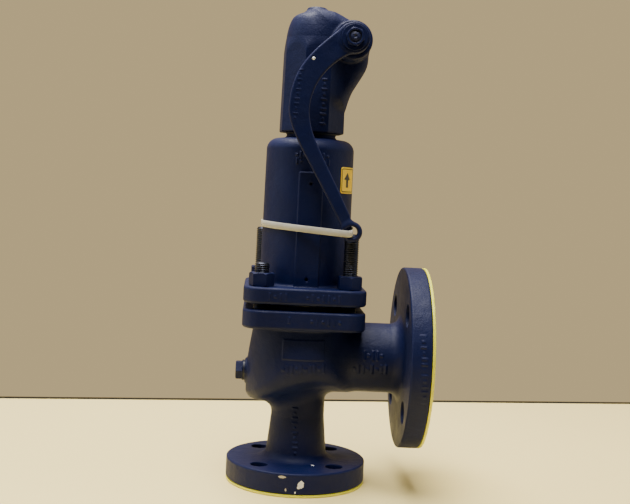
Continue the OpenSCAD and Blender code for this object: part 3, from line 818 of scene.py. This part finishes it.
cast("drain_plug_head", plug_field, (-53, -9, 79), (-34, 9, 98), 0.45,
     paint_nuts, "housing", ["drain_plug"])


def bush_field(p):
    out = rod(p, 1, (SHAFT_X, SHAFT_Z), 10.6, -39.5, -36, 0.5)
    out = join(out, rod(p, 1, (SHAFT_X, SHAFT_Z), 8, -37, -27, 0.3))
    return cut(out, rod(p, 1, (SHAFT_X, SHAFT_Z), 5.05, -60, -20), 0.2)


cast("gland_collar", bush_field, (17, -40, 348), (39, -27, 370), 0.5,
     paint_nuts, "housing", ["gland_bush"])


def washer_field(p):
    out = rod(p, 1, (SHAFT_X, SHAFT_Z), 10.3, -51, -49.5, 0.4)
    return cut(out, rod(p, 1, (SHAFT_X, SHAFT_Z), SHAFT_R, -60, -40), 0.2)


cast("lever_washer_disc", washer_field, (17, -52, 348), (39, -49, 370), 0.45,
     paint_nuts, "lever_set", ["lever_washer"])


def end_nut_field(p):
    return nut_field(1, (SHAFT_X, SHAFT_Z), 13, -56, -51, 5.0, 0.3)(p)


cast("lever_end_nut", end_nut_field, (20, -57, 351), (36, -51, 367), 0.4,
     paint_nuts, "lever_set", ["lever_nut"])


def rivet_field(p):
    dome = np.linalg.norm(p - np.array([RIVET_X, -47.6, RIVET_Z]), axis=1) - 1.75
    stem = rod(p, 1, (RIVET_X, RIVET_Z), RIVET_R, -48.4, LEVER_BACK, 0.2)
    return join(np.maximum(dome, p[:, 1] + 48.4), stem)


# Near-white matt colour: a bright metal rivet head, with its glint painted in as colour.
rivet_white_painted_glint = moulded("rivet_painted_glint", (0.95, 0.95, 0.96), (0.85, 0.85, 0.87), 0.3, 0.0, 0.00001)
cast("rivet_domed", rivet_field, (-5, -49.4, 339), (-1, -43, 344), 0.25,
     rivet_white_painted_glint, "lever_set", ["lever_rivet"])


def shaft_end_field(p):
    ball = np.linalg.norm(p - np.array([SHAFT_X, -48.6, SHAFT_Z]), axis=1) - 7.6
    out = meet(meet(ball, p[:, 1] + 54.9, 0.15), np.hypot(p[:, 0] - SHAFT_X, p[:, 2] - SHAFT_Z) - 4.4, 0.3)
    dimple = np.linalg.norm(p - np.array([SHAFT_X, -57.4, SHAFT_Z]), axis=1) - 2.1
    return cut(out, dimple, 0.25)


gloss = cast_paint("navy_gloss", 0.1, specular=0.5)
cast("shaft_end_dome", shaft_end_field, (23, -56.2, 354), (33, -54.9, 364), 0.3,
     gloss, "lever_set")


# ---------------------------------------------------------------- flange covers

def cover_field(axis, face, centre, radius, face_radius, pcd, hole, outward):
    """A thin yellow blank: a skin over the face and a thicker ring round it."""
    a, b = sorted((face, face + outward * COVER_T))
    c, d = sorted((face + outward * COVER_T, face - outward * RAISED_FACE))

    def field(p):
        out = rod(p, axis, centre, radius, a, b, 0.3)
        recess = rod(p, axis, centre, face_radius + 0.5, c - 9, d + 9)
        ring = cut(rod(p, axis, centre, radius, c, d, 0.4), recess)
        out = join(out, ring)
        return cut(out, bolt_holes(p, axis, centre, pcd, hole, c - 9, d + 9), 0.3)
    return field


cast("inlet_blank", cover_field(2, 0, (0, 0), 57.3, 34, INLET_BOLT_CIRCLE, INLET_HOLE_R, -1),
     (-58, -58, -COVER_T), (58, 58, 2), 0.6, yellow_cover, "housing", ["inlet_cover"])
cast("outlet_blank",
     cover_field(0, OUTLET_X, (0, OUTLET_Z), 74.6, 44, OUTLET_BOLT_CIRCLE, OUTLET_HOLE_R, 1),
     (98, -75, 30), (101.2, 75, 180), 0.6, yellow_cover, "housing", ["outlet_cover"])


# ---------------------------------------------------------------- label on the bonnet

LABEL_Z, LABEL_TURN, LABEL_WALL_R = 248.95, -30.5, 36.0
FILM_T, PRINT_T = 0.25, 0.3


def on_bonnet(across, up, lift):
    """A point on the bonnet's side: distance round it from the label's middle, height, stand-off."""
    z = LABEL_Z + up
    r = bonnet_radius(z) + lift
    a = math.radians(LABEL_TURN) + across / LABEL_WALL_R
    return r * math.cos(a), r * math.sin(a), z


def rounded_outline(half_w, half_h, corner, steps=6):
    """Points round a rectangle with round corners."""
    out = []
    for sx, sy, start in ((1, 1, 0), (-1, 1, 90), (-1, -1, 180), (1, -1, 270)):
        for i in range(steps + 1):
            a = math.radians(start + 90 * i / steps)
            out.append((sx * (half_w - corner) + corner * math.cos(a),
                        sy * (half_h - corner) + corner * math.sin(a)))
    return divided(out)


def divided(points, parts=8):
    """An outline with each side cut in equal parts, so that it can follow the curved wall."""
    out = []
    for (ax, ay), (bx, by) in zip(points, points[1:] + points[:1]):
        count = parts if math.hypot(bx - ax, by - ay) > 2 else 1
        out += [(ax + (bx - ax) * i / count, ay + (by - ay) * i / count) for i in range(count)]
    return out


def label_sheet(name, outline, low, high, material, hole=None):
    """A thin curved sheet cut to an outline, with an optional inner outline of as many points."""
    n = len(outline)
    inner = hole if hole else [tuple(np.mean(outline, axis=0))] * n
    rows = 10
    verts, faces = [], []
    for lift in (low, high):
        for i in range(rows + 1):
            t = i / rows
            for (a, b), (c, d) in zip(outline, inner):
                verts.append(on_bonnet(a + (c - a) * t, b + (d - b) * t, lift))
    layer = n * (rows + 1)
    for side, flip in ((0, True), (layer, False)):
        for i in range(rows):
            for j in range(n):
                k = (j + 1) % n
                q = [side + i * n + j, side + i * n + k, side + (i + 1) * n + k, side + (i + 1) * n + j]
                faces.append(tuple(q[::-1] if flip else q))
    for i in (0, rows) if hole else (0,):
        for j in range(n):
            k = (j + 1) % n
            q = [i * n + j, i * n + k, layer + i * n + k, layer + i * n + j]
            faces.append(tuple(q if i == 0 else q[::-1]))
    obj = new_piece(name, verts, faces, material, "housing")
    bm_clean(obj)
    return obj


def bm_clean(obj):
    """Merges doubled vertices and turns the faces outwards."""
    bm = bmesh.new()
    bm.from_mesh(obj.data)
    bmesh.ops.remove_doubles(bm, verts=bm.verts, dist=1e-7)
    bmesh.ops.dissolve_degenerate(bm, edges=bm.edges, dist=1e-8)
    bmesh.ops.recalc_face_normals(bm, faces=bm.faces)
    bm.to_mesh(obj.data)
    bm.free()


label = label_sheet("label_sheet", rounded_outline(10.6, 10.5, 2.0), 0.0, FILM_T, film)
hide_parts("sticker")
label_sheet("label_frame", rounded_outline(9.6, 9.5, 1.6), FILM_T, PRINT_T, ink,
            rounded_outline(8.9, 8.8, 1.2))


def arrow_outline():
    """A plain upward arrow."""
    return divided([(-2, 6.2), (-6.6, 0.8), (-3.7, 0.8), (-3.7, -5.8), (-0.3, -5.8), (-0.3, 0.8),
                    (2.6, 0.8)])


label_sheet("label_arrow", arrow_outline(), FILM_T, PRINT_T, ink)


# ---------------------------------------------------------------- nylon tie

TIE_R = 36.95


def tie_route():
    """Centre line of the tie: round the bonnet's back, over its pad and through the lever's eye."""
    back = [(TIE_R * math.cos(a), TIE_R * math.sin(a)) for a in np.radians(np.linspace(-4, 238, 60))]
    front = [(-9.8, -38.2), (0, -41.4), (10, -44.9), (18, -47.8), (23.5, -49.7), (30, -50.2)]
    eye = [(32.2, -50.5), (33.2, -49.8), (33.6, -48.4), (33.7, -46), (33.8, -43.5), (34, -41)]
    side = [(34.9, -30), (36, -16)]
    plan = np.array(back + front + eye + side)

    def height(x, y):
        if y > -36 and not (x < 0 and y < 0):
            return 210.6 if x > 33 else 211.2
        return 208.9 - 0.06 * x if x < 31 else 207.2 + 2.9 * min(1, max(0, (y + 51) / 8))
    points = np.array([(x, y, height(x, y)) for x, y in plan])
    # A closed Catmull-Rom curve through the points, evenly sampled
    n = len(points)
    fine = []
    for i in range(n):
        a, b, c, d = (points[(i + k) % n] for k in (-1, 0, 1, 2))
        for t in np.linspace(0, 1, 5)[:-1]:
            fine.append(0.5 * (2 * b + (c - a) * t + (2 * a - 5 * b + 4 * c - d) * t ** 2
                               + (3 * b - a - 3 * c + d) * t ** 3))
    return np.array(fine)


def sweep_band(route, section):
    """Sweeps a section, given as (outward, up) offsets, along a closed route."""
    n, m = len(route), len(section)
    along = np.roll(route, -1, 0) - np.roll(route, 1, 0)
    side = np.stack([along[:, 1], -along[:, 0], np.zeros(n)], 1)
    side /= np.linalg.norm(side, axis=1)[:, None] + 1e-9
    verts = [route[i] + side[i] * a + np.array([0, 0, b]) for i in range(n) for a, b in section]
    faces = []
    for i in range(n):
        j = (i + 1) % n
        for k in range(m):
            q = (k + 1) % m
            faces.append((i * m + k, i * m + q, j * m + q, j * m + k))
    return verts, faces


BAND = [(0.62, -2.3), (0.62, 2.3), (0.35, 2.65), (-0.35, 2.65), (-0.6, 2.3), (-0.6, 1.7),
        (-0.38, 1.5), (-0.38, -1.5), (-0.6, -1.7), (-0.6, -2.3), (-0.35, -2.65), (0.35, -2.65)]
tie_verts, tie_faces = sweep_band(tie_route(), BAND)
tie = new_piece("nylon_tie_band", tie_verts, tie_faces, nylon, None, ["tie"])
bm_clean(tie)
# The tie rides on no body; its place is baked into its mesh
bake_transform(tie)


# ---------------------------------------------------------------- coil spring

spring = bpy.data.objects.new("coil_spring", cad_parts["spring"].data.copy())
bpy.context.collection.objects.link(spring)
spring.data.materials.clear()
spring.data.materials.append(spring_wire)
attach(spring, "housing")
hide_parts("spring")
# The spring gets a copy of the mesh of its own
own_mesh(spring)


# ---------------------------------------------------------------- carried-over CAD nodes

FINISH = {
    "seat_ring": stainless, "guide_plate": stainless, "spindle": stainless, "disc": stainless,
    "disc_holder": stainless, "lower_spring_plate": stainless, "upper_spring_plate": stainless,
    "adjusting_screw": stainless, "lifting_nut": stainless, "fork": stainless,
    "drain_gasket": painted_steel, "lock_nut": steel, "lever_shaft": painted_steel, "lever_rivet": steel,
    "fork_pin": steel, "shaft_clip": steel, "split_ring": steel, "disc_retainer": steel,
    "lifting_pin": steel,
    "bonnet_gasket": graphite, "cap_gasket": graphite, "gland_seal": graphite,
}
for node, material in FINISH.items():
    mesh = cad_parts[node].data
    mesh.materials.clear()
    mesh.materials.append(material)


# ---------------------------------------------------------------- floor, light and camera

def stage_sheet(name, corners_m, material):
    mesh = bpy.data.meshes.new(name)
    mesh.from_pydata(corners_m, [], [tuple(range(len(corners_m)))])
    mesh.materials.append(material)
    obj = bpy.data.objects.new(name, mesh)
    bpy.context.collection.objects.link(obj)


def matt(name, tint, rough):
    m = Nodes(name)
    colour = m.mix(m.noise(6, 2.0), tint, tuple(c * 0.97 for c in tint))
    return m.finish(colour, rough)


FLOOR_Z = cad_low.z - 0.0002
FRONT_Y = -0.3
REACH = 0.9
GAP_SHADE_HEIGHT = 0.0022


def far_y(x):
    """The table's far edge, which isn't quite square to the valve."""
    return 0.3214 + 0.151 * x


stage_sheet("floor", [(-REACH, FRONT_Y, FLOOR_Z), (REACH, FRONT_Y, FLOOR_Z),
                      (REACH, far_y(REACH), FLOOR_Z), (-REACH, far_y(-REACH), FLOOR_Z)],
            matt("floor_matt", (0.97, 0.78, 0.32), 0.45))
edge = [(-REACH, far_y(-REACH)), (REACH, far_y(REACH))]
# A thin dark strip stood on the table's far edge: painted shade in the gap between the table and the wall.
stage_sheet("painted_gap_shade", [(*edge[0], FLOOR_Z), (*edge[1], FLOOR_Z), (*edge[1], FLOOR_Z + GAP_SHADE_HEIGHT),
                     (*edge[0], FLOOR_Z + GAP_SHADE_HEIGHT)], matt("painted_gap_shade_matt", (0.02, 0.018, 0.015), 0.8))


def area_light(name, at, aim, size, power, tint):
    data = bpy.data.lights.new(name, "AREA")
    data.shape, data.size, data.size_y = "RECTANGLE", size[0], size[1]
    data.energy, data.color = power, tint
    obj = bpy.data.objects.new(name, data)
    bpy.context.collection.objects.link(obj)
    obj.visible_camera = False
    obj.location = at
    obj.rotation_mode = "QUATERNION"
    obj.rotation_quaternion = (Vector(aim) - Vector(at)).to_track_quat("-Z", "Y")


area_light("left", (-1.3, -0.1, 0.8), (0, 0, 0.2), (1.2, 1.4), 8.0, (0.9, 0.95, 1.0))
area_light("right", (1.3, -0.1, 0.8), (0, 0, 0.2), (1.0, 1.4), 5.5, (0.85, 0.92, 1.0))
area_light("top", (-0.2, 0.0, 1.7), (0, 0.05, 0.1), (1.8, 0.9), 92, (1.0, 0.98, 0.95))


def room(wall, dim):
    """A plain beige wall in every view, which lights the valve from behind only."""
    world = bpy.data.worlds.new("room")
    bpy.context.scene.world = world
    world.use_nodes = True
    t = Tree(world.node_tree)
    direction = t.add("ShaderNodeSeparateXYZ")
    t.link(t.add("ShaderNodeTexCoord").outputs["Generated"], direction.inputs[0])
    behind = t.levels(direction.outputs["Y"], 0.2, 0.42)
    light = t.mix(behind, dim, wall)
    seen = t.mix(t.add("ShaderNodeLightPath").outputs["Is Camera Ray"], light, wall)
    background = t.tree.nodes["Background"]
    t.link(seen, background.inputs["Color"])
    background.inputs["Strength"].default_value = 1


room(wall=(0.545, 0.418, 0.217), dim=(0.052, 0.052, 0.053))

CAMERA_AT = Vector((-0.036775, -0.87473, 0.24079))
YAW, PITCH, ROLL = 0.0511, 0.0590, 0.0495
SENSOR, LENS = 36, 60.736571


def place_camera():
    """Turned right by the yaw, down by the pitch, then rolled about its own axis."""
    look = Vector((math.sin(YAW) * math.cos(PITCH), math.cos(YAW) * math.cos(PITCH), -math.sin(PITCH)))
    right = Vector((math.cos(YAW), -math.sin(YAW), 0))
    up = right.cross(look)
    rolled_right = math.cos(ROLL) * right + math.sin(ROLL) * up
    rolled_up = -math.sin(ROLL) * right + math.cos(ROLL) * up
    data = bpy.data.cameras.new("camera")
    data.sensor_width, data.lens = SENSOR, LENS
    camera = bpy.data.objects.new("camera", data)
    bpy.context.collection.objects.link(camera)
    turn = Matrix((rolled_right, rolled_up, -look)).transposed().to_4x4()
    camera.matrix_world = Matrix.Translation(CAMERA_AT) @ turn
    bpy.context.scene.camera = camera


place_camera()
